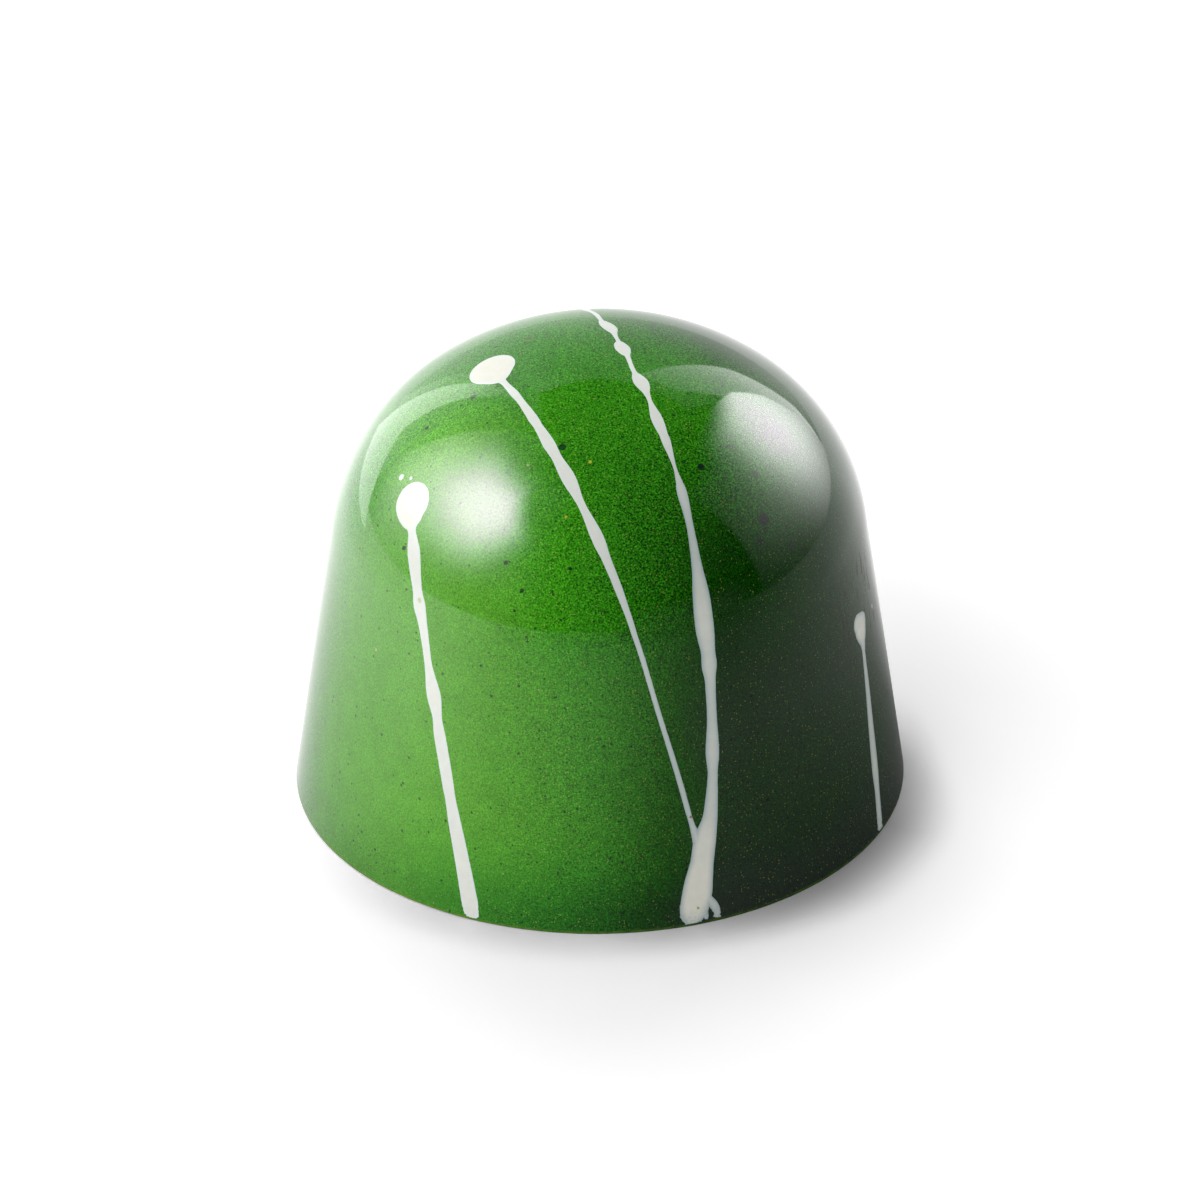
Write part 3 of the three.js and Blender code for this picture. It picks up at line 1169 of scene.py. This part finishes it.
# The same close to the foot, as a share of it: (turn, share)
TABLE_AT_FOOT = [
    (-180, 0.7), (-120, 0.55), (0, 0.50), (30, 0.35), (60, 0.22), (110, 0.20), (128, 0.42),
    (145, 0.90), (180, 0.7),
]
# The same far off
TABLE_FAR_OFF = [
    (-180, 1.0), (-50, 1.0), (-30, 0.7), (-10, 0.6), (15, 0.5), (60, 0.6), (90, 1.0),
    (180, 1.0),
]
# How bright the table is right at the foot, in its soft contact shadow: (turn, brightness)
CONTACT_SHADOW = [
    (-180, 1.0), (-90, 1.0), (-55, 0.94), (-42, 0.85), (-26, 0.72), (0, 0.74), (16, 0.57),
    (25, 0.50), (35, 0.41), (45, 0.36), (55, 0.37), (67, 0.36), (76, 0.50), (90, 0.63),
    (115, 1.0), (180, 1.0),
]
# How far out that shadow reaches: (turn, mm)
CONTACT_REACH = [(-180, 3.0), (25, 3.0), (45, 4.0), (68, 3.8), (90, 2.3), (110, 2.1), (180, 3.0)]
TABLE_HALF_WIDTH = 3.0
TABLE_WHITE = 0.85
TABLE_EXPOSURE = 1.57  # how far the table is overexposed in the picture
ROOM_LIGHT = 0.26  # how much the room lights what is matt
ROOM_MIRRORED = 0.03  # how bright the coat mirrors it
ROOM_SEEN = 1.0  # how bright the camera sees it
# The lamps, which only light what is matt: (name, turn, elevation, width in m, power in W)
LAMPS = [
    ("left_lamp", -90, 25, 0.5, 0.92),
    ("front_lamp", -42, 40, 0.5, 1.15),
    ("left_back_lamp", -135, 45, 0.5, 0.40),
    ("right_lamp", 110, 25, 0.4, 0.31),
    ("top_lamp", -135, 70, 0.3, 0.22),
    ("back_lamp", 180, 35, 0.6, 1.75),
]
LAMP_DISTANCE = 0.6
# The corners of the light cards: (turn, elevation)
KEY_CORNERS = [(-128, -1), (-128, 60), (-110, 80), (-40, 80), (-13, 60), (-13, -1)]
SIDE_CORNERS = [(-156, -1), (-156, 50), (-140, 64), (-124, 64), (-124, -1)]
NEAR_CORNERS = [
    (-153.5, -7.5), (-153.5, 48), (-150.5, 48), (-145, 24), (-141, 13), (-133, 8), (-127, 3),
    (-118, -7.5),
]
NEAR_CENTRE = Vector((-8.8, -1.5, 19.5)) * MM
BACKDROP_CORNERS = [(141, -1), (141, 50.5), (180, 50.5), (-150, 50.5), (-150, -1), (180, -1)]
FRONT_CORNERS = [(2, -1), (2, 16), (70, 16), (70, -1)]
FILL_CORNERS = [
    (69, -1), (70, 62), (128, 62), (134, 49), (139, 42), (143, 36), (146, 30), (147, 18),
    (145, 8), (141, -1),
]
WING_CORNERS = [(140, -1), (141, 8), (142, 30), (151, 47), (167, 47), (160, 32), (156, 18), (149, 6)]


def levels_round(w, turn, levels):
    """Joins up the levels that are given at some turns, the first at -180 and the last at 180."""
    brightest = max(level for _, level in levels)
    ramp = w.node("ShaderNodeValToRGB", inputs={"Fac": w.spread(turn, -180, 180, kind="LINEAR")})
    for at, level in levels[1:-1]:
        ramp.color_ramp.elements.new((at + 180) / 360)
    for stop, (at, level) in zip(ramp.color_ramp.elements, levels):
        stop.position = (at + 180) / 360
        stop.color = colour(*[level / brightest] * 3)
    return w.product(ramp.outputs["Color"], brightest)


def join_shaders(w, share, first, second):
    made = w.node("ShaderNodeMixShader", inputs={"Fac": share})
    w.put(made.inputs[1], first.outputs[0])
    w.put(made.inputs[2], second.outputs[0])
    return made


def table_seen(w, from_foot, turn, in_camera):
    """A matt white, overexposed to the camera and darker in the contact shadow."""
    reach = w.product(levels_round(w, turn, CONTACT_REACH), MM)
    contact = w.spread(from_foot, 0.0, reach, levels_round(w, turn, CONTACT_SHADOW), 1.0)
    seen = w.product(contact, TABLE_WHITE * TABLE_EXPOSURE)
    white = w.math("MULTIPLY_ADD", in_camera, w.math("SUBTRACT", seen, TABLE_WHITE), TABLE_WHITE)
    matt = w.node("ShaderNodeBsdfDiffuse", inputs={"Color": white})
    # Far off, where the lamps no longer reach, the camera still sees it white.
    pale = w.node("ShaderNodeEmission", inputs={"Color": WHITE, "Strength": 1.0})
    far_off = w.product(in_camera, w.spread(from_foot, 0.1, 0.5))
    return join_shaders(w, far_off, matt, pale)


def table_mirrored(w, place, from_foot, turn):
    """How bright the coat mirrors it, darker towards the side away from the light."""
    near = w.spread(from_foot, 0.0, 40 * MM, levels_round(w, turn, TABLE_AT_FOOT), 1.1)
    below = elevation_of(w, w.vector_math("SUBTRACT", place, tuple(MIRROR_CENTRE)))
    far = w.spread(below, -14, -1, 1.0, levels_round(w, turn, TABLE_FAR_OFF))
    strength = w.product(levels_round(w, turn, TABLE_IN_COAT), near, far)
    return w.node("ShaderNodeEmission", inputs={"Color": WHITE, "Strength": strength})


def build_floor():
    """A wide white table."""
    material, w, surface = bare_material("pale_table")
    material.cycles.emission_sampling = "NONE"
    place = w.place()
    path = w.node("ShaderNodeLightPath")
    from_foot = w.math("SUBTRACT", w.vector_math("LENGTH", place), FOOT_RADIUS)
    turn = turn_of(w, place)
    seen = table_seen(w, from_foot, turn, path.outputs["Is Camera Ray"])
    mirrored = table_mirrored(w, place, from_foot, turn)
    w.put(surface, join_shaders(w, path.outputs["Is Glossy Ray"], seen, mirrored).outputs[0])
    signs = [(-1, -1), (1, -1), (1, 1), (-1, 1)]
    points = [(x * TABLE_HALF_WIDTH, y * TABLE_HALF_WIDTH, 0) for x, y in signs]
    new_piece("floor", points, [(0, 1, 2, 3)], material)


def build_lamp(name, turn, elevation, width, power):
    lamp = bpy.data.objects.new(name, bpy.data.lights.new(name, "AREA"))
    lamp.data.shape = "DISK"
    lamp.data.size = width
    lamp.data.energy = power
    lamp.location = direction(turn, elevation) * LAMP_DISTANCE
    lamp.rotation_euler = direction(turn, elevation).to_track_quat("Z", "Y").to_euler()
    lamp.visible_glossy = False
    lamp.visible_camera = False
    bpy.context.scene.collection.objects.link(lamp)


def build_world():
    world = bpy.data.worlds.new("studio")
    bpy.context.scene.world = world
    world.use_nodes = True
    world.node_tree.nodes.clear()
    w = Wiring(world.node_tree)
    path = w.node("ShaderNodeLightPath")
    mirrored, seen = path.outputs["Is Glossy Ray"], path.outputs["Is Camera Ray"]
    strength = w.math("MULTIPLY_ADD", mirrored, ROOM_MIRRORED - ROOM_LIGHT, ROOM_LIGHT)
    strength = w.math("MULTIPLY_ADD", seen, ROOM_SEEN - ROOM_LIGHT, strength)
    shine = w.node("ShaderNodeBackground", inputs={"Color": WHITE, "Strength": strength})
    output = w.node("ShaderNodeOutputWorld")
    w.put(output.inputs["Surface"], shine.outputs[0])


def build_studio():
    build_camera()
    build_floor()
    build_world()
    for lamp in LAMPS:
        build_lamp(*lamp)
    build_card("key_card", 0.6, KEY_CORNERS, key_glow)
    build_card("side_card", 0.8, SIDE_CORNERS, side_glow)
    build_card("near_card", 149 * MM, NEAR_CORNERS, near_glow, NEAR_CENTRE)
    build_card("backdrop", 1.6, BACKDROP_CORNERS, backdrop_glow)
    build_card("front_card", 1.6, FRONT_CORNERS, front_glow)
    build_card("fill_card", 0.6, FILL_CORNERS, fill_glow)
    build_card("wing_card", 0.8, WING_CORNERS, wing_glow)
    bpy.context.scene.view_settings.view_transform = "Standard"


# ---------------------------------------------------------------------------------------------
# Everything together

build_studio()
groups = {
    "spray": make_spray_group(),
    "flecks": make_flecks_group(),
    "speck": make_speck_group(),
    "ripple": make_ripple_group(),
}
coat_material = make_coat_material(groups)
white_material = make_white_material(groups)
chocolate_material = make_chocolate_material()

coat = build_coat(coat_material)
base = build_base(chocolate_material)
drips = {
    "left_drip": [LEFT_DRIP],
    "forked_drip": [
        LONG_DRIP_BEHIND,
        LONG_DRIP,
        MIDDLE_DRIP,
        LONG_DRIP_HEEL,
        LONG_DRIP_BALL,
        LONG_DRIP_SPUR,
        LONG_DRIP_TOE,
    ],
    "right_drip": [RIGHT_DRIP, RIGHT_DRIP_HEAD],
    "left_back_drip": [LEFT_BACK_DRIP],
    "right_back_drip": [RIGHT_BACK_DRIP],
    "side_drip": [SIDE_DRIP],
    "droplets": [[station] for station in DROPLETS],
}
whites = [build_inlay(name, chains, white_material) for name, chains in drips.items()]

for piece in [coat, base, *whites]:
    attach(piece, "root")
